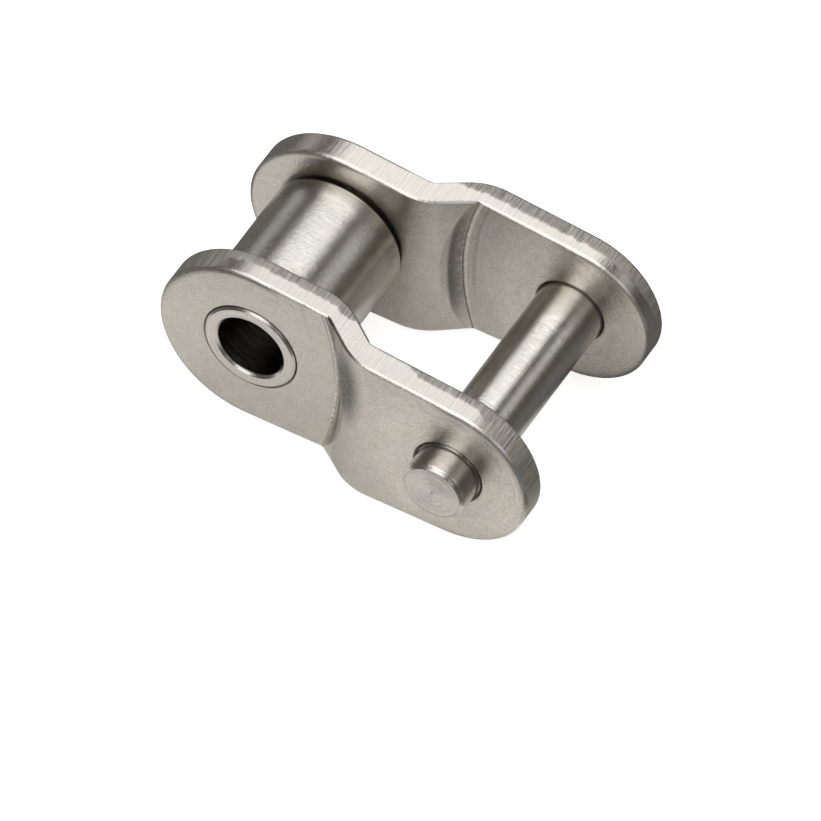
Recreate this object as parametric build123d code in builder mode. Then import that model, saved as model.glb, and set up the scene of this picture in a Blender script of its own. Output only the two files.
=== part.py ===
"""Offset (cranked) roller chain link, single strand, 31.75 mm pitch.

Two joggled side plates stand on edge. A bushing is pressed through their narrow
end and carries a free roller. A pin goes through their wide end, where the next
link of the chain turns, and a split cotter keeps it in place.

Frame: origin at the middle of the bushing bore, +X along the pitch towards the
pin, +Y along the bushing and the pin, +Z up. Millimetres.
"""
import math
import os

from build123d import *

# Pitch and running gear
pitch = 31.75
roller_diameter = 19.05
bushing_diameter = 13.45
pin_diameter = 9.53

# Widths along the bushing and pin axes
inner_width = 19.5              # between the plates, at the roller
plate_thickness = 4.0
next_link_gap = 0.15            # from a plate to the next link's bushing, on each side
bushing_stand = 0.3             # the bushing ends stand proud of the plates
roller_side_gap = 0.5           # on each side of the roller
pin_front_stand = 4.1           # the pin stands out of the front plate
pin_rear_stand = 5.3            # and out of the rear plate, with room for the cotter

# Side plate outline, seen along the pins
bushing_end_radius = 13.2
bushing_end_shift = 0.35        # its arc is centred this far past the bushing
pin_end_radius = 11.6
plate_edge_break = 0.3          # burr taken off all round the outline

# The step between the two ends of a plate
step_foot = 11.17               # where the outer side of the step starts, on the pitch line
step_angle = 36.5
step_lean = 3.0                 # its bends lie further from the bushing low down
step_thickness = 3.6            # a little thinner than the plate, from the bending
crown_round = 8.5               # the two convex bends
foot_round = 1.5                # the two concave ones

# Crescents coined into both sides of the step, so that the plates of the two
# neighbouring links swing clear of it
coin_depth = 0.05               # their flat land, below the plate's face
coin_run_out = 0.4              # width of the slope from the land back to the face
outer_coin_gap = 1.55           # crease of the outer one, to one neighbour's wide end
outer_coin_radius = 37.0
outer_coin_land = 3.4
outer_coin_draft = 36.0         # its wall, from the pin direction
inner_coin_gap = 2.58           # crease of the inner one, to the other's narrow end
inner_coin_radius = 38.0
inner_coin_land = 1.6
inner_coin_draft = 30.0

# Fits and edge breaks
bore_clearance = 0.045          # pin of the next link in the bushing bore, on radius
roller_clearance = 0.08         # roller on the bushing, on radius
press_clearance = 0.01          # bushing in its plate holes, drawn all but size for size
pin_hole_clearance = 0.05       # pin in the plates, on radius
bushing_end_chamfer = 0.3
bushing_bore_chamfer = 0.38
bushing_hole_break = 0.23
pin_hole_break = 0.3
roller_edge_chamfer = 0.5
roller_bore_chamfer = 0.4
pin_lead_relief = 0.2           # the standing front end is turned a little smaller
pin_chamfer_radial = 0.5
pin_chamfer_axial = 0.6

# Split cotter
cotter_hole_diameter = 3.2
cotter_play = 0.05              # folded shank in its hole, on radius
cotter_from_plate = 2.1         # hole axis from the rear plate's outer face
cotter_leg_gap = 0.1
cotter_eye_radius = 1.3         # inside the eye
cotter_flank_angle = 25.0       # straight flanks of the eye, from the legs
cotter_neck_radius = 2.0
cotter_neck_stand = 0.3         # straight leg on each side of the pin
cotter_spread_radius = 2.5
cotter_spread_angle = 20.0
cotter_tail = 0.9

# Sizes that follow
bushing_radius = bushing_diameter / 2
pin_radius = pin_diameter / 2
roller_radius = roller_diameter / 2
narrow_inside = inner_width / 2
narrow_outside = narrow_inside + plate_thickness
bushing_half_length = narrow_outside + bushing_stand
wide_inside = bushing_half_length + next_link_gap
wide_outside = wide_inside + plate_thickness
roller_half_length = narrow_inside - roller_side_gap
bore_radius = pin_radius + bore_clearance
roller_bore_radius = bushing_radius + roller_clearance
bushing_hole_radius = bushing_radius + press_clearance
pin_hole_radius = pin_radius + pin_hole_clearance
pin_front_end = -(wide_outside + pin_front_stand)
pin_rear_end = wide_outside + pin_rear_stand
pin_lead_radius = pin_radius - pin_lead_relief
bushing_end_reach = bushing_end_radius + bushing_end_shift

# The two slopes of the step, step_thickness apart
step_slope = math.radians(step_angle)
step_run = (wide_outside - narrow_outside) / math.tan(step_slope)
step_inner_foot = step_foot + (
    step_thickness - plate_thickness * math.cos(step_slope)
) / math.sin(step_slope)
outer_coin_crease = pin_end_radius + outer_coin_gap
inner_coin_crease = pitch - bushing_end_reach - inner_coin_gap

# The cotter's eye is a loop with straight flanks, each of which bends into a leg
cotter_y = wide_outside + cotter_from_plate
cotter_hole_radius = cotter_hole_diameter / 2
cotter_wire_radius = cotter_hole_radius - cotter_play - cotter_leg_gap / 2
cotter_flank = math.radians(cotter_flank_angle)
cotter_neck_rise = cotter_leg_gap / 2 + cotter_neck_radius * (1 - math.cos(cotter_flank))
cotter_flank_rise = cotter_eye_radius * math.cos(cotter_flank) - cotter_neck_rise
cotter_flank_length = cotter_flank_rise / math.sin(cotter_flank)
cotter_neck_x = pitch - pin_radius - cotter_neck_stand
cotter_spread_x = pitch + pin_radius + cotter_neck_stand
cotter_eye_x = (
    cotter_neck_x
    - (cotter_eye_radius + cotter_neck_radius) * math.sin(cotter_flank)
    - cotter_flank_length * math.cos(cotter_flank)
)

trim = 3.0                      # how far blanks and cutters reach past the plate
same_size = 0.001               # circles this close are the same circle

os.makedirs("parts", exist_ok=True)


def circles_of(radius):
    """Round edges of the piece being built that have this radius."""
    round_edges = edges().filter_by(GeomType.CIRCLE)
    return round_edges.filter_by(lambda edge: abs(edge.radius - radius) < same_size)


# The step is drawn and coined square to its leaning bends
step_plane = Plane.XY.rotated((0, -step_lean, 0))


def coining_punch(crease, radius, land, draft, face, side):
    """Ring punch along the pins that presses a crescent into a plate.

    Its flat land lies coin_depth under the plate's face at y = face, and the outer
    rim of the land passes x = crease on the pitch line. There the wall flares towards
    side, +1 or -1 along X and Y. On the inner side the land runs out to the face.
    """
    floor = face - side * coin_depth
    top = face + side * (wide_outside - narrow_inside)
    flare = abs(top - floor) * math.tan(math.radians(draft))
    inner_rim = -side * (land + 2 * coin_run_out)
    punch_plane = Plane(origin=(crease, 0, 0), x_dir=step_plane.x_dir, z_dir=step_plane.z_dir)
    with BuildPart() as punch:
        with BuildSketch(punch_plane):
            with BuildLine():
                Polyline(
                    (-side * land, floor),
                    (0, floor),
                    (side * flare, top),
                    (inner_rim, top),
                    (inner_rim, face + side * coin_depth),
                    close=True,
                )
            make_face()
        revolve(axis=Axis(punch_plane.from_local_coords((-side * radius, 0, 0)), (0, 1, 0)))
    return punch.part


outer_punch = coining_punch(
    outer_coin_crease, outer_coin_radius, outer_coin_land, outer_coin_draft, narrow_outside, 1
)
inner_punch = coining_punch(
    inner_coin_crease, inner_coin_radius, inner_coin_land, inner_coin_draft, wide_inside, -1
)

# Rear side plate
with BuildPart() as rear_offset_plate:
    # Joggled strip, with easy bends on the convex sides of the step, tighter ones inside
    strip_start = -bushing_end_reach - trim
    strip_end = pitch + pin_end_radius + trim
    outer_foot = (step_foot, narrow_outside)
    outer_crown = (step_foot + step_run, wide_outside)
    inner_crown = (step_inner_foot, narrow_inside)
    inner_foot = (step_inner_foot + step_run, wide_inside)
    with BuildSketch(step_plane):
        with BuildLine():
            Polyline(
                (strip_start, narrow_inside),
                (strip_start, narrow_outside),
                outer_foot,
                outer_crown,
                (strip_end, wide_outside),
                (strip_end, wide_inside),
                inner_foot,
                inner_crown,
                close=True,
            )
        make_face()
        for crown in (outer_crown, inner_crown):
            fillet(vertices().sort_by_distance(crown)[0], radius=crown_round)
        for foot in (outer_foot, inner_foot):
            fillet(vertices().sort_by_distance(foot)[0], radius=foot_round)
    extrude(amount=bushing_end_radius + trim, both=True)
    # Cut to its outline: two round ends and their common tangents
    arc_span = pitch + bushing_end_shift
    taper = math.degrees(math.asin((bushing_end_radius - pin_end_radius) / arc_span))
    pin_half_arc = 90 - taper
    with BuildSketch(Plane.XZ):
        with BuildLine():
            bushing_arc = CenterArc(
                (-bushing_end_shift, 0),
                bushing_end_radius,
                pin_half_arc,
                360 - 2 * pin_half_arc,
            )
            pin_arc = CenterArc((pitch, 0), pin_end_radius, -pin_half_arc, 2 * pin_half_arc)
            Line(bushing_arc @ 0, pin_arc @ 1)
            Line(bushing_arc @ 1, pin_arc @ 0)
        make_face()
    extrude(amount=-(wide_outside + trim), mode=Mode.INTERSECT)
    # Broken edges all round the outline
    cut_faces = faces().filter_by(lambda face: abs(face.normal_at().Y) < same_size)
    chamfer(cut_faces.edges().filter_by(Axis.Y, reverse=True), length=plate_edge_break)
    # Coined crescents
    add(outer_punch, mode=Mode.SUBTRACT)
    add(inner_punch, mode=Mode.SUBTRACT)
    # Punched holes with broken edges
    with BuildSketch(Plane.XZ):
        Circle(bushing_hole_radius)
        with Locations((pitch, 0)):
            Circle(pin_hole_radius)
    extrude(amount=-(wide_outside + trim), mode=Mode.SUBTRACT)
    chamfer(circles_of(bushing_hole_radius), length=bushing_hole_break)
    chamfer(circles_of(pin_hole_radius), length=pin_hole_break)
rear_offset_plate.part.label = "rear_offset_plate"
export_step(rear_offset_plate.part, "parts/rear_offset_plate.step")

# Front side plate, the same of the other hand
with BuildPart() as front_offset_plate:
    mirror(rear_offset_plate.part, about=Plane.XZ)
front_offset_plate.part.label = "front_offset_plate"
export_step(front_offset_plate.part, "parts/front_offset_plate.step")

# Bushing, pressed through both plates
with BuildPart() as bushing:
    with BuildSketch(Plane.XZ):
        Circle(bushing_radius)
        Circle(bore_radius, mode=Mode.SUBTRACT)
    extrude(amount=bushing_half_length, both=True)
    chamfer(circles_of(bushing_radius), length=bushing_end_chamfer)
    chamfer(circles_of(bore_radius), length=bushing_bore_chamfer)
bushing.part.label = "bushing"
export_step(bushing.part, "parts/bushing.step")

# Roller, free on the bushing between the plates
with BuildPart() as roller:
    with BuildSketch(Plane.XZ):
        Circle(roller_radius)
        Circle(roller_bore_radius, mode=Mode.SUBTRACT)
    extrude(amount=roller_half_length, both=True)
    chamfer(circles_of(roller_radius), length=roller_edge_chamfer)
    chamfer(circles_of(roller_bore_radius), length=roller_bore_chamfer)
roller.part.label = "roller"
export_step(roller.part, "parts/roller.step")

# Pin: turned bar with a relieved front end, bevels and a cotter hole
with BuildPart() as pin:
    with BuildSketch(Plane.XY):
        with BuildLine():
            Polyline(
                (pitch, pin_front_end),
                (pitch + pin_lead_radius - pin_chamfer_radial, pin_front_end),
                (pitch + pin_lead_radius, pin_front_end + pin_chamfer_axial),
                (pitch + pin_lead_radius, -wide_outside),
                (pitch + pin_radius, pin_lead_relief - wide_outside),
                (pitch + pin_radius, pin_rear_end - pin_chamfer_axial),
                (pitch + pin_radius - pin_chamfer_radial, pin_rear_end),
                (pitch, pin_rear_end),
                close=True,
            )
        make_face()
    revolve(axis=Axis((pitch, 0, 0), (0, 1, 0)))
    with BuildSketch(Plane.YZ.offset(pitch)):
        with Locations((cotter_y, 0)):
            Circle(cotter_hole_radius)
    extrude(amount=pin_diameter, both=True, mode=Mode.SUBTRACT)
pin.part.label = "pin"
export_step(pin.part, "parts/pin.step")

# Split cotter: half-round wire folded to an eye, its two legs spread past the pin
with BuildPart() as cotter_pin:
    # Flat side of the upper half: eye, flank, neck, leg through the pin, spread tail
    with BuildLine(Plane.XZ.offset(-cotter_y)):
        eye = CenterArc(
            (cotter_eye_x, 0), cotter_eye_radius, 180, -90 - cotter_flank_angle
        )
        flank = Line(eye @ 1, eye @ 1 + (eye % 1) * cotter_flank_length)
        neck = JernArc(
            start=flank @ 1,
            tangent=flank % 1,
            radius=cotter_neck_radius,
            arc_size=cotter_flank_angle,
        )
        leg = Line(neck @ 1, (cotter_spread_x, cotter_leg_gap / 2))
        bend = JernArc(
            start=leg @ 1,
            tangent=leg % 1,
            radius=cotter_spread_radius,
            arc_size=cotter_spread_angle,
        )
        Line(bend @ 1, bend @ 1 + (bend % 1) * cotter_tail)
    with BuildSketch(Plane.XY):
        with Locations((cotter_eye_x - cotter_eye_radius, cotter_y)):
            Circle(cotter_wire_radius)
            Rectangle(
                2 * cotter_wire_radius,
                2 * cotter_wire_radius,
                align=(Align.MIN, Align.CENTER),
                mode=Mode.SUBTRACT,
            )
    sweep()
    mirror(about=Plane.XY)
cotter_pin.part.label = "cotter_pin"
export_step(cotter_pin.part, "parts/cotter_pin.step")
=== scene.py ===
"""Looks of the offset chain link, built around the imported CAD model. Metres."""
import math
from types import SimpleNamespace

import bpy
from mathutils import Matrix, Vector


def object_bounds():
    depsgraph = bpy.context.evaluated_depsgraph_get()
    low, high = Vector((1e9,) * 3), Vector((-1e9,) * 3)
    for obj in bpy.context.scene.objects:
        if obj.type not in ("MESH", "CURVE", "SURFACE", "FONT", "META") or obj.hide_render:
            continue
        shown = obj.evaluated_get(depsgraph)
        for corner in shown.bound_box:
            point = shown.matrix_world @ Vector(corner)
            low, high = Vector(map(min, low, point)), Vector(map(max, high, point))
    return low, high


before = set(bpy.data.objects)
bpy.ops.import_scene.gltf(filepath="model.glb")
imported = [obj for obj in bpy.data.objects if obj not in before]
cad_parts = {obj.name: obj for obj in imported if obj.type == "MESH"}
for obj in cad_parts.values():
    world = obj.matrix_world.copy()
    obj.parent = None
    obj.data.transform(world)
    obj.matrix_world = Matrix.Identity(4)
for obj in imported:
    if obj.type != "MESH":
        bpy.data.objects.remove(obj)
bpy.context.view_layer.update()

MM = 0.001

# Camera: the photograph's direction, a long lens
VIEW_AZIMUTH = 24.24            # degrees, from looking along +Y towards -X
VIEW_ELEVATION = 49.76          # degrees, downwards
VIEW_ROLL = 6.76                # degrees
VIEW_AIM = Vector((20.352, -6.625, -6.658)) * MM
VIEW_DISTANCE = 2.116
VIEW_REACH = 20                 # how far the camera sees
LENS = 718.4                    # mm, as the sensor's width
SENSOR = 36.0

# Room: a faint warm light from all round, and soft boxes of even light
WORLD_LIGHT = (0.112, 0.100, 0.084, 1)
SOFT_BOXES = (                  # name, centre, target, width, height, radiance
    ("overhead", (-0.10, -0.25, 0.50), (-0.10, -0.25, 0), 0.56, 1.46, 1.37),
    ("right_fill", (0.45, 0, 0.38), (0, 0, 0.38), 1.4, 0.32, 0.48),
    ("left_fill", (-0.50, 0.35, 0.14), (0, 0, 0), 0.9, 0.16, 0.44),
)

# Table: white in the picture, but mirrored as a painted pool of light, glowing a little, in a
# darker room
FLOOR_REACH = 3.0
FLOOR_DROP = 0.02 * MM
FLOOR_COLOUR = (0.9, 0.9, 0.9, 1)
FLOOR_ROUGHNESS = 0.9
FLOOR_GLOW = 0.80               # keeps the floor pale in the picture
WARM_WHITE = (1.0, 0.988, 0.962, 1)
PAINTED_POOL_COLOUR = (0.9, 0.2)         # shares of the warm white: on the patch, off it
PAINTED_POOL_GLOW = (0.15, 0.0)
PAINTED_POOL_CENTRE = (10.0, -14.0)      # mm
PAINTED_POOL_SQUASH = 0.75               # the patch is longer along X
PAINTED_POOL_EDGE = (27.0, 37.0)         # mm from its centre, where it fades

# Sizes of the link that the materials follow, mm
PITCH = 31.75
PLATE_THICKNESS = 4.0
BUSHING_END = (-0.35, 0.0, 13.2)  # the plate's outline there: centre, radius
PIN_END = 11.6                    # and round the pin: radius
BORE = 4.81                       # radius of the bushing's bore
PIN_TIP = 4.065                   # radius of the flat of the pin's front end
LEAN = math.tan(math.radians(3.0))  # the step lies further along low down

# Steels, and the two tints and the texture of their mottling
PLATE_STEEL = (0.640, 0.614, 0.575)
TURNED_STEEL = (0.655, 0.636, 0.604)
# A lighter copy of the turned steel, for the bushing and pin: painted light
LIT_TURNED_STEEL = (0.705, 0.684, 0.650)
WIRE_STEEL = (0.57, 0.56, 0.54)
WARMER = (1.012, 0.998, 0.975)
GREENER = (0.994, 1.001, 1.004)
MOTTLE = (0.35, 2.0, 0.6)
MOTTLE_LEVELS = (0.35, 0.65)
CREVICE_SHADE_LEVELS = (0.15, 0.85)     # shares of open sky for the painted shade in corners: darkest, and undarkened

# What differs between the two plates, mm. The step: where it starts and ends.
# The punched side: its y before and after the step. The smooth share of the
# sheared edge: where each change starts and ends, and how large it is. The
# crease of the crescent: its centre and radius. The turn of the crescent's
# wall: the x of its normal, from none of the wall to all of it.
FRONT_PLATE = SimpleNamespace(
    step=(11.17, 17.18), punched_side=(-13.75, -18.2),
    smooth_share=((-6.5, -4.0, 0.6), (12.0, 15.5, 0.5), (21.0, 27.0, -0.45), (34.5, 37.5, -0.8)),
    crease=(-23.80, -1.94, 37.0), wall_turn=(-0.64, -0.70),
    smooth_tone=-0.10, high_wall_painted_light=0.0, crevice_shade_tone=0.6, painted_step_shade=True,
)
REAR_PLATE = SimpleNamespace(
    step=(11.81, 17.82), punched_side=(9.75, 14.2),
    smooth_share=((-30.0, -20.0, 1.1), (13.0, 18.0, -0.62)),
    crease=(53.57, 1.99, 38.0), wall_turn=(0.66, 0.74),
    smooth_tone=0.0, high_wall_painted_light=0.12, crevice_shade_tone=0.9, painted_step_shade=False,
)

# Where the marks of a plate begin and where they are full, mm
STEP_FROM = (7.0, 9.0)
STEP_TO = (20.5, 18.5)
PIN_HOLE = (7.0, 6.0)
BUSHING_HOLE = (9.0, 8.0)
BY_PIN_ARCS_AND_LIGHT = (14.5, 9.0)
OUTER_RING = (6.5, 9.5)
OUTER_RING_ALONG = (20.0, 28.0)
ROLLED_WIDTH = 1.2
ROLLED_AT_BUSHING = (6.0, 0.0)    # x, from the middle out to the end
ROLLED_AT_PIN = (26.0, 32.0)
CREVICE_SHADE_REACH = 1.1
# The same by the surface's unit normal: parts of it along one axis
CUT_TURN = (0.55, 0.35)
CORNER_TURNS = ((0.45, 0.55), (0.77, 0.73))
CORNER_RISE = (0.15, 0.3)
CORNER_ROUND = (0.15, 0.4)
TORN_ROUND = (0.1, 0.6)
FRONT_FACING = (0.0, -0.3)
ROLLED_TURN = (-0.4, -0.8)
LAND_TURN = (0.08, 0.02)
# The same across the crescent, mm inside its crease, or off the middle
HIGH_WALL = (-0.9, -1.2)
WALL_FADE = (-0.1, -0.8, 0.4, 1.0)
WALL_ENDS = (10.5, 5.0, 0.6, 1.0)
BEAD = ((0.0, 0.35), (0.9, 0.4))
CHATTER = ((-0.9, -0.3), (0.8, 0.3))
CHATTER_ENDS = (9.5, 6.0)
# The same in shares of the thickness, and in levels of the texture
TORN_BAND = (-0.09, 0.09)
PIT_LEVELS = (0.60, 0.72)
SCRATCH_LEVELS = (0.74, 0.80)

# Textures of a plate: grains per mm, detail, roughness
PEEL = (3.2, 3.0, 0.7)
SAND = (6.5, 1.0, 0.5)
BROAD = (0.5, 2.0, 0.5)
PITS = (2.6, 3.0, 0.7)
STREAKS = ((3.8, 0.18, 3.8), 3.0, 0.75)
BAND_WANDER = ((0.9, 0.135, 0.9), 3.0, 0.65)
BAND_SWING = 0.24
PIN_ARCS = ((5.5, 1.6, 0.0), 3.0, 0.7)
CHATTER_MARKS = ((1.2, 0.0, 3.0), 3.0, 0.7)
SCRATCH = (0.16, 3.6, 1.0, 0.4)   # per mm lengthways and across, detail, roughness
SCRATCH_TILTS = ((12.0, 0.0), (-35.0, 40.0), (78.0, 90.0))  # degrees, seed

# How much lighter or darker the marks of a plate are, as shares of its tone
PLATE_TONE = SimpleNamespace(
    peel=0.50, sand=0.55, broad=0.22, scratch=-0.16,
    # Faces near the pin, and round its end, lighter: painted light
    arcs=0.70, by_pin_arcs_and_light=0.11, outer_ring=0.10,
    streaks=0.42, torn_streaks=1.6, torn=(-0.20, 0.0), pits=-0.30,
    # The broken corner lighter, the more where it faces +X: painted highlight. Darker round the
    # holes: painted shade.
    corner=(0.30, 0.9), hole_corner_shade=-0.45,
    # The crescent's wall darker: painted shade. Its bead lighter: painted highlight. The near
    # plate's step darker: painted shade.
    wall=-0.68, bead=0.08, chatter=2.6, step_shade=-0.85,
)
# How high they stand, mm
PLATE_HEIGHT = SimpleNamespace(
    peel=0.036, sand=0.016, broad=0.04, scratch=-0.010, arcs=0.055,
    torn=0.17, pits=-0.03, smooth=0.035, bead=0.16, rolled=-0.22,
)
PLATE_ROUGHNESS = SimpleNamespace(base=0.235, broad=0.08, torn=0.22, wall=0.10, smooth=-0.02)
PLATE_BEVEL = (0.50, 0.20)        # mm, in the open, and at the step and holes

# Painted shade on the near plate's step, beside its crease: places in mm, depths in shares
SHADE_PATCH = (15.6, 2.3)               # its middle
SHADE_PATCH_SQUASH = 0.42               # it is longer along Z
SHADE_PATCH_FADE = (3.9, 0.9)
SHADE_PATCH_PEELED = (0.40, 0.62, 1.0, 0.8)
SHADOW = ((12.8, 13.6), (18.5, 14.5))
SHADOW_DEPTH = 0.22
BY_CREASE = ((-0.05, -0.25), (-2.4, -0.9))
BY_CREASE_UP = (-3.0, 4.0)        # z, it is darker higher up
BY_CREASE_DEPTH = 0.70

# Turned pieces: textures as above, but the axis comes first
LINES = ((6.0, 0.22, 0.22), 3.0, 0.6)
FINE_LINES = ((15.0, 0.7, 0.7), 2.0, 0.6)
SCUFFS = ((1.1, 4.5, 2.0), 3.0, 0.7)
END_RINGS = ((12.0, 0.35, 0.0), 3.0, 0.65)
SPECKLE = (8.0, 2.0, 0.6)
TURNED_BROAD = (0.4, 2.0, 0.5)
BEVEL_SCUFFS = ((7.0, 1.5, 0.0), 3.0, 0.7)
END_TURN = (0.8, 0.95)
TURNED_TONE = SimpleNamespace(
    lines=0.40, fine=0.60, rings=1.3, speckle=0.42, scuffs=0.28,
    bore=0.5, bore_lines=3.0,
    # The pin's shoulder and the line round its flat darker: painted shade
    bevel=2.4, shoulder_shade=-0.5, outline=-0.35, pip=0.8,
)
TURNED_HEIGHT = SimpleNamespace(
    speckle=0.012, broad=0.03, scuffs=0.012, bore_lines=0.05, bevel=0.03, pip=0.06,
)
TURNED_ROUGHNESS = SimpleNamespace(base=0.205, broad=0.06, end=0.05)
TURNED_CREVICE_SHADE = (0.8, 0.8)       # reach in mm, tone of the painted shade in corners
TURNED_BEVEL = 0.12               # mm
FINE_SHARE = 0.5                  # height of the fine lines beside the others
INSIDE_BORE = (0.12, 0.02)        # mm beyond the bore
# The pin's front end
BEVEL_TURNS = ((0.2, 0.4), (0.95, 0.8))
SHOULDER = (4.55, 4.60)           # radius, where the thicker part begins
SHOULDER_ALONG = (0.0, -1.0)      # y, to leave out the rear end
OUTLINE = (-0.16, -0.04)          # mm from the rim of its flat
PIP = (0.28, 0.12)                # radius, in the middle of its flat

# Drawn wire of the cotter
DRAWN_LINES = ((0.6, 9.0, 3.0), 2.0, 0.6)
WIRE = SimpleNamespace(tone=0.2, roughness=0.28, swing=0.08, height=0.008, bevel=0.05)
WIRE_CREVICE_SHADE = (0.8, 0.5)


def camera_axes():
    """Right, up and forward of the camera, from its three angles."""
    azimuth = math.radians(VIEW_AZIMUTH)
    elevation = math.radians(VIEW_ELEVATION)
    roll = math.radians(VIEW_ROLL)
    forward = Vector((
        -math.sin(azimuth) * math.cos(elevation),
        math.cos(azimuth) * math.cos(elevation),
        -math.sin(elevation),
    ))
    level_right = forward.cross(Vector((0, 0, 1))).normalized()
    level_up = level_right.cross(forward)
    right = level_right * math.cos(roll) + level_up * math.sin(roll)
    up = right.cross(forward)
    return right, up, forward


def add_camera():
    right, up, forward = camera_axes()
    data = bpy.data.cameras.new("camera")
    data.sensor_width = SENSOR
    data.lens = LENS
    data.clip_end = VIEW_REACH
    camera = bpy.data.objects.new("camera", data)
    turn = Matrix((right, up, -forward)).transposed().to_4x4()
    place = VIEW_AIM - forward * VIEW_DISTANCE
    camera.matrix_world = Matrix.Translation(place) @ turn
    bpy.context.scene.collection.objects.link(camera)
    bpy.context.scene.camera = camera


def add_soft_box(name, centre, target, width, height, radiance):
    """Rectangle of even light that faces its target."""
    data = bpy.data.lights.new(name, "AREA")
    data.shape = "RECTANGLE"
    data.size = width
    data.size_y = height
    data.energy = radiance * math.pi * width * height
    box = bpy.data.objects.new(name, data)
    box.location = centre
    aim = Vector(target) - Vector(centre)
    box.rotation_euler = aim.to_track_quat("-Z", "Y").to_euler()
    bpy.context.scene.collection.objects.link(box)


def add_lights():
    world = bpy.data.worlds.new("studio")
    world.use_nodes = True
    background = world.node_tree.nodes["Background"]
    background.inputs["Color"].default_value = WORLD_LIGHT
    bpy.context.scene.world = world
    for box in SOFT_BOXES:
        add_soft_box(*box)


class Graph:
    """Wires the shader nodes of one material. Its lengths are millimetres."""

    def __init__(self, name):
        self.material = bpy.data.materials.new(name)
        self.material.use_nodes = True
        self.tree = self.material.node_tree
        self.shader = self.tree.nodes["Principled BSDF"]
        self.output = self.tree.nodes["Material Output"]

    def put(self, socket, value):
        if isinstance(value, bpy.types.NodeSocket):
            self.tree.links.new(value, socket)
        else:
            socket.default_value = value

    def new(self, kind, values=(), **settings):
        node = self.tree.nodes.new("ShaderNode" + kind)
        for key, value in settings.items():
            setattr(node, key, value)
        for key, value in dict(values).items():
            self.put(node.inputs[key], value)
        return node

    def math(self, operation, *values):
        return self.new("Math", enumerate(values), operation=operation).outputs[0]

    def fold(self, operation, values):
        """One operation over any number of values, from the first on."""
        total = values[0]
        for value in values[1:]:
            total = self.math(operation, total, value)
        return total

    def add(self, *values):
        return self.fold("ADD", values)

    def times(self, *values):
        return self.fold("MULTIPLY", values)

    def most(self, *values):
        return self.fold("MAXIMUM", values)

    def minus(self, value, taken):
        return self.math("SUBTRACT", value, taken)

    def size(self, value):
        return self.math("ABSOLUTE", value)

    def ramp(self, value, start, end, low=0.0, high=1.0, kind="SMOOTHSTEP"):
        """low where value is start, high where it is end, and even beyond both."""
        values = {
            "Value": value, "From Min": start, "From Max": end,
            "To Min": low, "To Max": high,
        }
        return self.new("MapRange", values, interpolation_type=kind).outputs[0]

    def strip(self, value, rise, fall):
        """1 between the rise and the fall, which are both ramps."""
        return self.times(self.ramp(value, *rise), self.ramp(value, *fall))

    def combine(self, x, y, z):
        return self.new("CombineXYZ", {0: x, 1: y, 2: z}).outputs[0]

    def split(self, vector):
        return self.new("SeparateXYZ", {0: vector}).outputs

    def noise(self, vector, per_mm, detail, roughness):
        values = {
            "Vector": vector, "Scale": per_mm,
            "Detail": detail, "Roughness": roughness,
        }
        return self.new("TexNoise", values).outputs[0]

    def streaks(self, axes, per_mm, detail, roughness):
        """Noise with its own number of grains per mm along each axis."""
        scaled = [self.times(axis, count) for axis, count in zip(axes, per_mm)]
        return self.noise(self.combine(*scaled), 1.0, detail, roughness)

    def spread(self, noise, amount):
        """Noise as an even swing of this much about nought."""
        return self.times(self.minus(noise, 0.5), amount)

    def marked(self, *marks):
        """Factor on a tone: 1 plus every mark, each the product of its parts."""
        return self.add(1.0, *[self.times(*mark) for mark in marks])

    def blend(self, factor, first, second, blend_type="MIX"):
        values = {0: factor, 6: first, 7: second}
        node = self.new("Mix", values, data_type="RGBA", blend_type=blend_type)
        return node.outputs[2]

    def shade(self, colour, factor):
        """Colour made lighter or darker by a factor."""
        grey = self.new("CombineColor", {0: factor, 1: factor, 2: factor}).outputs[0]
        return self.blend(1.0, colour, grey, "MULTIPLY")

    def radius(self, across, up, centre_across=0.0, centre_up=0.0):
        a = self.minus(across, centre_across)
        b = self.minus(up, centre_up)
        return self.math("SQRT", self.add(self.times(a, a), self.times(b, b)))

    def angle(self, across, up, centre_across=0.0):
        return self.math("ARCTAN2", up, self.minus(across, centre_across))

    def place(self):
        """Spot in the object's own millimetres, its x, y and z, its normal's x, y and z."""
        coordinate = self.new("TexCoord")
        values = {0: coordinate.outputs["Object"], 3: 1 / MM}
        spot = self.new("VectorMath", values, operation="SCALE").outputs[0]
        return spot, self.split(spot), self.split(coordinate.outputs["Normal"])

    def crevice_shade(self, reach, darkest):
        """Painted shade: 1 in the open, down to darkest in narrow corners."""
        node = self.new("AmbientOcclusion", {"Distance": reach * MM}, samples=4)
        return self.ramp(node.outputs["AO"], *CREVICE_SHADE_LEVELS, darkest, 1.0, "LINEAR")

    def finish(self, colour, roughness, height, bevel):
        """The bevel is a radius in mm, one value or a socket."""
        self.put(self.shader.inputs["Base Color"], colour)
        self.put(self.shader.inputs["Roughness"], roughness)
        self.shader.inputs["Metallic"].default_value = 1
        rounded = self.new("Bevel", {"Radius": self.times(bevel, MM)}, samples=4).outputs[0]
        bump = self.new("Bump", {"Height": height, "Normal": rounded})
        bump.inputs["Distance"].default_value = MM
        bump.inputs["Strength"].default_value = 1
        self.put(self.shader.inputs["Normal"], bump.outputs[0])
        return self.material


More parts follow.
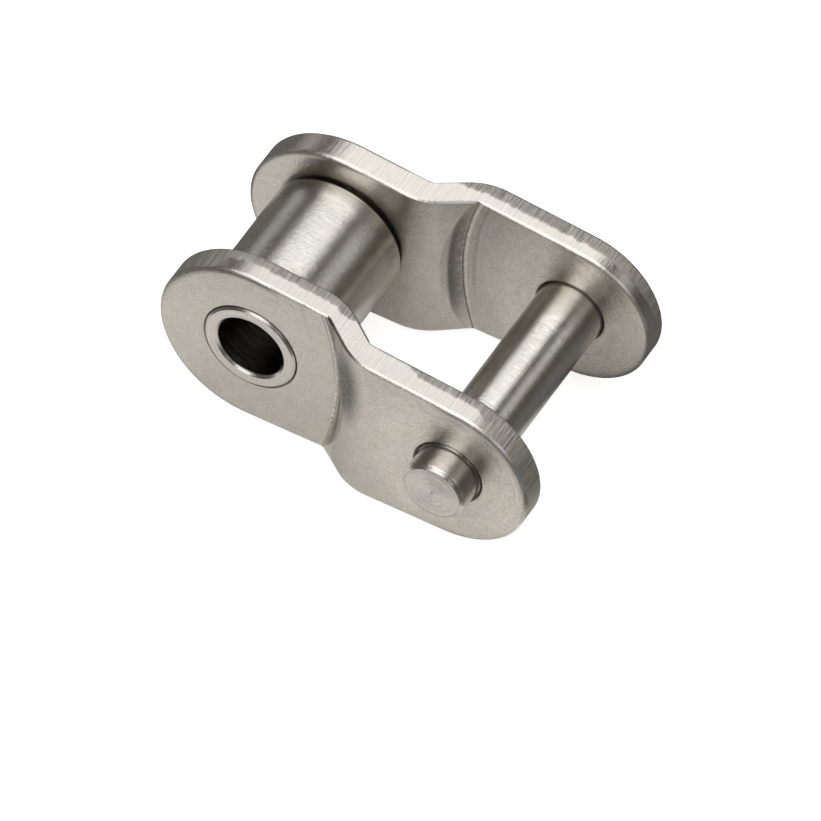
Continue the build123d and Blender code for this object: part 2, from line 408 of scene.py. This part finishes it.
def floor_white():
    """White to the camera; to what mirrors it, a painted pool of light in a darker room."""
    graph = Graph("floor_white")
    seen = graph.shader
    seen.inputs["Base Color"].default_value = FLOOR_COLOUR
    seen.inputs["Roughness"].default_value = FLOOR_ROUGHNESS
    seen.inputs["Emission Color"].default_value = (1, 1, 1, 1)
    seen.inputs["Emission Strength"].default_value = FLOOR_GLOW
    x, y, _ = graph.split(graph.new("NewGeometry").outputs["Position"])
    centre = (PAINTED_POOL_CENTRE[0] * PAINTED_POOL_SQUASH * MM, PAINTED_POOL_CENTRE[1] * MM)
    distance = graph.radius(graph.times(x, PAINTED_POOL_SQUASH), y, *centre)
    edge = [radius * MM for radius in PAINTED_POOL_EDGE]
    # Painted pool of light, fading to a darker floor, with a faint glow
    pale = graph.ramp(distance, *edge, *PAINTED_POOL_COLOUR)
    values = {
        "Base Color": graph.shade(WARM_WHITE, pale),
        "Emission Strength": graph.ramp(distance, *edge, *PAINTED_POOL_GLOW),
    }
    mirrored = graph.new("BsdfPrincipled", values)
    mirrored.inputs["Roughness"].default_value = FLOOR_ROUGHNESS
    mirrored.inputs["Emission Color"].default_value = WARM_WHITE
    path = graph.new("LightPath")
    values = {0: path.outputs["Is Camera Ray"], 1: mirrored.outputs[0], 2: seen.outputs[0]}
    both = graph.new("MixShader", values)
    graph.put(graph.output.inputs["Surface"], both.outputs[0])
    return graph.material


def add_floor():
    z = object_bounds()[0][2] - FLOOR_DROP
    reach = FLOOR_REACH
    corners = [(-reach, -reach, z), (reach, -reach, z), (reach, reach, z), (-reach, reach, z)]
    mesh = bpy.data.meshes.new("floor")
    mesh.from_pydata(corners, [], [(0, 1, 2, 3)])
    mesh.materials.append(floor_white())
    floor = bpy.data.objects.new("floor", mesh)
    bpy.context.scene.collection.objects.link(floor)


def mottled(g, spot, steel):
    """Steel with a slight warm and green mottling."""
    warmer, greener = (
        (*[part * change for part, change in zip(steel, tint)], 1)
        for tint in (WARMER, GREENER)
    )
    patches = g.ramp(g.noise(spot, *MOTTLE), *MOTTLE_LEVELS)
    return g.blend(patches, warmer, greener)


def plate_places(g):
    """Where a spot of a plate is, mm, and which way its surface faces."""
    spot, (x, y, z), (nx, ny, nz) = g.place()
    along = g.add(x, g.times(z, LEAN))
    from_pin = g.radius(x, z, PITCH)
    from_bushing = g.radius(x, z)
    return SimpleNamespace(
        spot=spot, x=x, y=y, z=z, nx=nx, ny=ny, nz=nz,
        along=along, from_pin=from_pin,
        upright=g.size(ny), off_middle=g.size(z),
        near_step=g.strip(along, STEP_FROM, STEP_TO),
        at_hole=g.most(g.ramp(from_pin, *PIN_HOLE), g.ramp(from_bushing, *BUSHING_HOLE)),
    )


def sheared_edge(g, at, plate):
    """Edge of a punched plate: smooth next to the punched side, torn beyond."""
    side = g.ramp(at.along, *plate.step, *plate.punched_side, "LINEAR")
    depth = g.times(g.minus(at.y, side), 1 / PLATE_THICKNESS)
    smooth_share = g.add(*[
        g.ramp(at.along, start, end, 0.0, change)
        for start, end, change in plate.smooth_share
    ])
    wander = g.spread(g.streaks((at.x, at.y, at.z), *BAND_WANDER), BAND_SWING)
    past = g.minus(g.add(depth, wander), smooth_share)
    cut = g.ramp(at.upright, *CUT_TURN)
    torn = g.times(cut, g.ramp(past, *TORN_BAND))
    # Broken corner between the sheared edge and a face: lighter with painted highlight, and
    # darker round the holes with painted shade
    corner = g.strip(at.upright, *CORNER_TURNS)
    hole_corner_shade = g.times(corner, at.at_hole)
    corner = g.times(corner, g.ramp(g.size(at.nz), *CORNER_RISE))
    corner = g.minus(corner, g.times(corner, at.at_hole))
    return SimpleNamespace(
        cut=cut, torn=torn, smooth=g.minus(cut, torn), face=g.minus(1.0, cut),
        corner=corner, hole_corner_shade=hole_corner_shade,
        streaks=g.streaks((at.x, at.y, at.z), *STREAKS),
        pits=g.ramp(g.noise(at.spot, *PITS), *PIT_LEVELS),
    )


def scratches(g, at, face):
    """A few fine straight scratches in three directions."""
    lengthways_per_mm, across_per_mm, detail, roughness = SCRATCH
    lines = []
    for tilt, seed in SCRATCH_TILTS:
        c = math.cos(math.radians(tilt))
        s = math.sin(math.radians(tilt))
        lengthways = g.add(
            g.times(at.x, c * lengthways_per_mm), g.times(at.z, s * lengthways_per_mm), seed,
        )
        across = g.add(g.times(at.x, -s * across_per_mm), g.times(at.z, c * across_per_mm))
        line = g.noise(g.combine(lengthways, across, seed), 1.0, detail, roughness)
        lines.append(g.ramp(line, *SCRATCH_LEVELS))
    return g.times(g.most(*lines), face)


def face_marks(g, at, face):
    """Faces of a plate: orange peel, scratches, arcs round the pin, and the reach of painted
    light near the pin and round its end.
    """
    turn = g.angle(at.x, at.z, PITCH)
    return SimpleNamespace(
        peel=g.noise(at.spot, *PEEL),
        sand=g.noise(at.spot, *SAND),
        broad=g.noise(at.spot, *BROAD),
        arcs=g.streaks((at.from_pin, turn, 0.0), *PIN_ARCS),
        by_pin_arcs_and_light=g.times(g.ramp(at.from_pin, *BY_PIN_ARCS_AND_LIGHT), face),
        scratch=scratches(g, at, face),
        outer_ring=g.times(
            g.ramp(at.from_pin, *OUTER_RING), g.ramp(at.x, *OUTER_RING_ALONG), face,
        ),
    )


def crescent(g, at, plate, face):
    """Coined crescent: a bead inside its crease, lighter with painted highlight, and a rougher
    wall outside it, darker with painted shade, its high part lighter with painted light on the
    rear plate.
    """
    centre_x, centre_z, radius = plate.crease
    facing = g.ramp(at.ny, *FRONT_FACING)
    inside = g.minus(radius, g.radius(at.x, at.z, centre_x, centre_z))
    wall = g.times(g.ramp(at.nx, *plate.wall_turn), at.near_step, facing, face)
    high_wall = g.times(wall, g.ramp(inside, *HIGH_WALL))
    wall = g.times(
        g.minus(wall, high_wall), g.ramp(inside, *WALL_FADE), g.ramp(at.off_middle, *WALL_ENDS),
    )
    on_land = g.ramp(g.size(g.minus(at.upright, 1.0)), *LAND_TURN)
    marks = g.streaks((at.x, at.y, at.z), *CHATTER_MARKS)
    return SimpleNamespace(
        inside=inside, wall=wall, high_wall=high_wall,
        bead=g.times(g.strip(inside, *BEAD), at.near_step, facing, on_land),
        chatter=g.times(
            g.spread(marks, PLATE_TONE.chatter), g.strip(inside, *CHATTER),
            at.near_step, facing, g.ramp(at.off_middle, *CHATTER_ENDS),
        ),
    )


def rolled_ends(g, at):
    """Ends of the outline, rolled over on the side that the punch came from."""
    centre_x, centre_z, radius = BUSHING_END
    from_end = g.radius(at.x, at.z, centre_x, centre_z)
    bushing_end = g.times(
        g.ramp(from_end, radius - ROLLED_WIDTH, radius, kind="LINEAR"),
        g.ramp(at.x, *ROLLED_AT_BUSHING),
    )
    pin_end = g.times(
        g.ramp(at.from_pin, PIN_END - ROLLED_WIDTH, PIN_END, kind="LINEAR"),
        g.ramp(at.x, *ROLLED_AT_PIN),
    )
    return g.times(g.most(bushing_end, pin_end), g.ramp(at.ny, *ROLLED_TURN))


def painted_step_shade(g, at, face, peel, inside):
    """Painted shade on the near plate, from its crease to the step: a dark patch, a broad
    shadow, and a band by the crease.
    """
    distance = g.radius(at.along, g.times(at.z, SHADE_PATCH_SQUASH), *SHADE_PATCH)
    middle = g.times(g.ramp(distance, *SHADE_PATCH_FADE), face, g.ramp(peel, *SHADE_PATCH_PEELED))
    shadow = g.times(g.strip(at.along, *SHADOW), face, SHADOW_DEPTH)
    by_crease = g.times(
        g.strip(inside, *BY_CREASE), at.near_step, g.ramp(at.z, *BY_CREASE_UP),
        face, BY_CREASE_DEPTH,
    )
    return g.most(middle, shadow, by_crease)


def plate_steel(name, plate):
    """Punched and joggled plate: peeled faces, sheared edge with its two bands."""
    g = Graph(name)
    at = plate_places(g)
    edge = sheared_edge(g, at, plate)
    marks = face_marks(g, at, edge.face)
    coined = crescent(g, at, plate, edge.face)
    rolled = rolled_ends(g, at)

    tones = PLATE_TONE
    grain = g.add(
        g.spread(marks.peel, tones.peel),
        g.spread(marks.sand, tones.sand),
        g.spread(marks.broad, tones.broad),
    )
    tone = g.times(
        g.marked((edge.face, grain)),
        g.marked(
            (marks.by_pin_arcs_and_light, g.spread(marks.arcs, tones.arcs)),
            # Faces near the pin lighter: painted light
            (marks.by_pin_arcs_and_light, tones.by_pin_arcs_and_light),
        ),
        g.marked(
            (edge.torn, g.ramp(at.nx, *TORN_ROUND, *tones.torn)),
            (edge.smooth, plate.smooth_tone),
            (edge.cut, g.spread(edge.streaks, tones.streaks)),
            (edge.torn, g.spread(edge.streaks, tones.torn_streaks)),
            # Broken corner lighter, the more where it faces +X: painted highlight
            (edge.corner, g.ramp(at.nx, *CORNER_ROUND, *tones.corner)),
            # Broken corner round the holes darker: painted shade
            (edge.hole_corner_shade, tones.hole_corner_shade),
        ),
        # Pits in the torn band; the crescent's wall darker: painted shade
        g.marked((edge.pits, edge.torn, tones.pits), (coined.wall, tones.wall)),
        g.marked(
            (marks.scratch, tones.scratch),
            # The crescent's bead lighter: painted highlight
            (coined.bead, tones.bead),
            # Faces round the pin's end lighter: painted light
            (marks.outer_ring, tones.outer_ring),
            (coined.chatter,),
            # The crescent wall's high part lighter on the rear plate: painted light
            (coined.high_wall, plate.high_wall_painted_light),
        ),
        # Painted shade in narrow corners
        g.crevice_shade(CREVICE_SHADE_REACH, plate.crevice_shade_tone),
    )
    # Painted shade on the near plate's step, beside its crease
    if plate.painted_step_shade:
        step_shade = painted_step_shade(g, at, edge.face, marks.peel, coined.inside)
        tone = g.times(tone, g.marked((step_shade, tones.step_shade)))
    colour = g.shade(mottled(g, at.spot, PLATE_STEEL), tone)

    rough = PLATE_ROUGHNESS
    roughness = g.add(
        rough.base,
        g.spread(marks.broad, rough.broad),
        g.times(edge.torn, rough.torn),
        g.times(coined.wall, rough.wall),
        g.times(edge.smooth, rough.smooth),
    )

    heights = PLATE_HEIGHT
    face_height = g.add(
        g.spread(marks.peel, heights.peel),
        g.spread(marks.sand, heights.sand),
        g.spread(marks.broad, heights.broad),
        g.times(marks.scratch, heights.scratch),
    )
    height = g.add(
        g.times(face_height, edge.face),
        g.times(marks.by_pin_arcs_and_light, g.spread(marks.arcs, heights.arcs)),
        g.times(edge.torn, g.spread(edge.streaks, heights.torn)),
        g.times(edge.torn, edge.pits, heights.pits),
        g.times(edge.smooth, g.spread(edge.streaks, heights.smooth)),
        g.times(coined.bead, heights.bead),
        g.times(rolled, rolled, heights.rolled),
    )
    bevel = g.ramp(g.most(at.near_step, at.at_hole), 0.0, 1.0, *PLATE_BEVEL)
    return g.finish(colour, roughness, height, bevel)


def in_bore(g, radius, lines, bore):
    """Tone and height of the drilled bore: darker with painted shade, and with stronger lines.
    """
    beyond, within = INSIDE_BORE
    inside = g.ramp(radius, bore + beyond, bore + within)
    # Darker inside the bore: painted shade
    tone = g.times(
        g.ramp(inside, 0.0, 1.0, 1.0, TURNED_TONE.bore),
        g.marked((inside, g.spread(lines, TURNED_TONE.bore_lines))),
    )
    return tone, g.times(inside, g.spread(lines, TURNED_HEIGHT.bore_lines))


def on_pin_tip(g, y, ny, radius, turn, end):
    """Tone and height of the pin's front end: scuffed bevel, painted shade on its shoulder and
    as a dark line round its flat, and a pip.
    """
    bevelled = g.strip(g.size(ny), *BEVEL_TURNS)
    scuffed = g.streaks((y, turn, 0.0), *BEVEL_SCUFFS)
    # Painted shade: the shoulder darker, and a dark line round the flat
    shoulder_shade = g.times(bevelled, g.ramp(radius, *SHOULDER), g.ramp(y, *SHOULDER_ALONG))
    outline = g.times(end, g.ramp(radius, *[PIN_TIP + offset for offset in OUTLINE]))
    pip = g.times(end, g.ramp(radius, *PIP))
    tone = g.times(
        g.marked((bevelled, g.spread(scuffed, TURNED_TONE.bevel))),
        g.marked((shoulder_shade, TURNED_TONE.shoulder_shade)),
        g.marked((outline, TURNED_TONE.outline)),
        g.ramp(pip, 0.0, 1.0, 1.0, TURNED_TONE.pip),
    )
    height = g.add(
        g.times(bevelled, g.spread(scuffed, TURNED_HEIGHT.bevel)),
        g.times(pip, TURNED_HEIGHT.pip),
    )
    return tone, height


def turned_steel(name, axis_x, steel, ring_height, line_height, bore=None, pin_tip=False):
    """Turned piece with its axis along Y: lines round it, rings on its ends."""
    g = Graph(name)
    spot, (x, y, z), (_, ny, _) = g.place()
    radius = g.radius(x, z, axis_x)
    turn = g.angle(x, z, axis_x)
    end = g.ramp(g.size(ny), *END_TURN)
    body = g.minus(1.0, end)
    lines = g.streaks((y, x, z), *LINES)
    fine = g.streaks((y, x, z), *FINE_LINES)
    scuffs = g.streaks((y, x, z), *SCUFFS)
    rings = g.streaks((radius, turn, 0.0), *END_RINGS)
    speckle = g.noise(spot, *SPECKLE)
    broad = g.noise(spot, *TURNED_BROAD)

    tones = TURNED_TONE
    tone = g.times(
        g.marked(
            (body, g.spread(lines, tones.lines)),
            (body, g.spread(fine, tones.fine)),
            (end, g.spread(rings, tones.rings)),
            (g.spread(speckle, tones.speckle),),
            (g.spread(scuffs, tones.scuffs),),
        ),
        # Painted shade in narrow corners
        g.crevice_shade(*TURNED_CREVICE_SHADE),
    )
    heights = TURNED_HEIGHT
    height = g.add(
        g.times(body, g.spread(lines, line_height)),
        g.times(body, g.spread(fine, line_height * FINE_SHARE)),
        g.times(end, g.spread(rings, ring_height)),
        g.spread(speckle, heights.speckle),
        g.spread(broad, heights.broad),
        g.spread(scuffs, heights.scuffs),
    )
    extras = []
    if bore is not None:
        extras.append(in_bore(g, radius, lines, bore))
    if pin_tip:
        extras.append(on_pin_tip(g, y, ny, radius, turn, end))
    for extra_tone, extra_height in extras:
        tone = g.times(tone, extra_tone)
        height = g.add(height, extra_height)
    rough = TURNED_ROUGHNESS
    roughness = g.add(rough.base, g.spread(broad, rough.broad), g.times(end, rough.end))
    return g.finish(g.shade(mottled(g, spot, steel), tone), roughness, height, TURNED_BEVEL)


def wire_steel(name):
    """Drawn wire, with faint lines along it."""
    g = Graph(name)
    spot, (x, y, z), _ = g.place()
    drawn = g.streaks((x, y, z), *DRAWN_LINES)
    # The wire darker in narrow corners: painted shade
    tone = g.times(g.marked((g.spread(drawn, WIRE.tone),)), g.crevice_shade(*WIRE_CREVICE_SHADE))
    colour = g.shade(mottled(g, spot, WIRE_STEEL), tone)
    roughness = g.add(WIRE.roughness, g.spread(drawn, WIRE.swing))
    return g.finish(colour, roughness, g.spread(drawn, WIRE.height), WIRE.bevel)


def dress(node, material):
    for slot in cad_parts[node].material_slots:
        slot.material = material


add_camera()
add_lights()
add_floor()
bpy.context.scene.view_settings.view_transform = "Standard"

dress("front_offset_plate", plate_steel("front_plate_steel", FRONT_PLATE))
dress("rear_offset_plate", plate_steel("rear_plate_steel", REAR_PLATE))
# The bushing and pin in the lighter copy of the steel: painted light
dress("bushing", turned_steel(
    "bushing_turned", 0.0, LIT_TURNED_STEEL, ring_height=0.03, line_height=0.012, bore=BORE,
))
dress("roller", turned_steel(
    "roller_turned", 0.0, TURNED_STEEL, ring_height=0.02, line_height=0.012,
))
dress("pin", turned_steel(
    "pin_turned", PITCH, LIT_TURNED_STEEL, ring_height=0.05, line_height=0.014, pin_tip=True,
))
dress("cotter_pin", wire_steel("cotter_drawn"))
